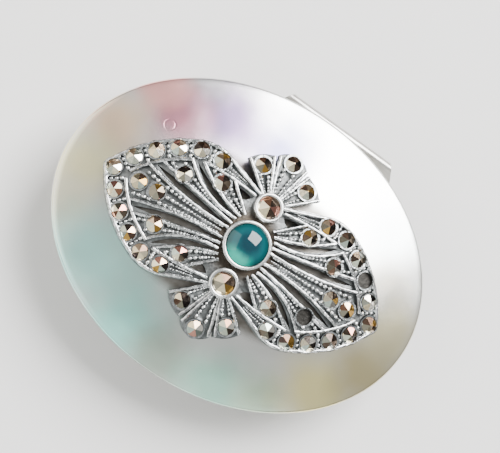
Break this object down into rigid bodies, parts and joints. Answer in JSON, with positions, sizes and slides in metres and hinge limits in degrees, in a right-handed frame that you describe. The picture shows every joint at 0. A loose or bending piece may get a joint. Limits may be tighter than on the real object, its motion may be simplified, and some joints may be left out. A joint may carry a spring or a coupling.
{
  "type": "brooch",
  "caption": "Oval domed silver dress clip brooch with a pierced arched plaque of set marcasites, a green stone in a plain collet and a sprung hinged clip leaf.",
  "frame": {"origin": "on the clip leaf's flat outer face, under the centre of the oval plate", "axes": "+X along the plate's long axis, +Y towards the clip's thumb lip, +Z out of the brooch's face"},
  "size_m": [0.04, 0.0323, 0.0129],
  "materials": {
    "polished_silver": "polished silver with fine wear scratches",
    "collet_silver": "plain satin silver",
    "oxidised_silver": "oxidised silver, bright on the raised edges",
    "marcasite": "six-faceted polished marcasite",
    "green_agate": "polished translucent green stone",
    "spring_steel": "drawn steel wire"
  },
  "bodies": {
    "brooch": {"dome_plate": "polished_silver", "back_sheet": "polished_silver", "centre_collet": "collet_silver", "upper_collet": "collet_silver", "lower_collet": "collet_silver", "openwork_plaque": "oxidised_silver", "green_stone": "green_agate", "hinge_bracket": "polished_silver", "hinge_pin": "spring_steel", "clip_spring": "spring_steel", "marcasite_left_tip": "marcasite", "marcasite_left_axis_1": "marcasite", "marcasite_left_axis_2": "marcasite", "marcasite_left_upper_border_1": "marcasite", "marcasite_left_upper_border_2": "marcasite", "marcasite_left_upper_border_3": "marcasite", "marcasite_left_upper_border_4": "marcasite", "marcasite_left_upper_border_5": "marcasite", "marcasite_left_upper_cell": "marcasite", "marcasite_left_upper_lens": "marcasite", "marcasite_left_lower_border_1": "marcasite", "marcasite_left_lower_border_2": "marcasite", "marcasite_left_lower_border_3": "marcasite", "marcasite_left_lower_border_4": "marcasite", "marcasite_left_lower_border_5": "marcasite", "marcasite_left_lower_cell": "marcasite", "marcasite_left_lower_lens": "marcasite", "marcasite_right_tip": "marcasite", "marcasite_right_axis_1": "marcasite", "marcasite_right_axis_2": "marcasite", "marcasite_right_upper_border_1": "marcasite", "marcasite_right_upper_border_3": "marcasite", "marcasite_right_upper_border_4": "marcasite", "marcasite_right_upper_border_5": "marcasite", "marcasite_right_upper_cell": "marcasite", "marcasite_right_upper_lens": "marcasite", "marcasite_right_lower_border_1": "marcasite", "marcasite_right_lower_border_2": "marcasite", "marcasite_right_lower_border_3": "marcasite", "marcasite_right_lower_border_4": "marcasite", "marcasite_right_lower_border_5": "marcasite", "marcasite_right_lower_lens": "marcasite", "marcasite_upper_fan_middle": "marcasite", "marcasite_upper_fan_left": "marcasite", "marcasite_upper_fan_right": "marcasite", "marcasite_lower_fan_middle": "marcasite", "marcasite_lower_fan_left": "marcasite", "marcasite_lower_fan_right": "marcasite", "upper_large_marcasite": "marcasite", "lower_large_marcasite": "marcasite"},
    "clip_leaf": {"clip_leaf": "polished_silver"}
  },
  "joints": [
    {"name": "leaf_hinge", "type": "hinge", "parent": "brooch", "child": "clip_leaf", "pos_m": [0.00302, 0.01043, 0.0029], "axis": [0.9981, -0.061, 0], "range_deg": [0, 22], "stiffness_Nm_per_rad": 0.03, "springref_deg": -28.65, "deforming": ["clip_spring"]}
  ]
}
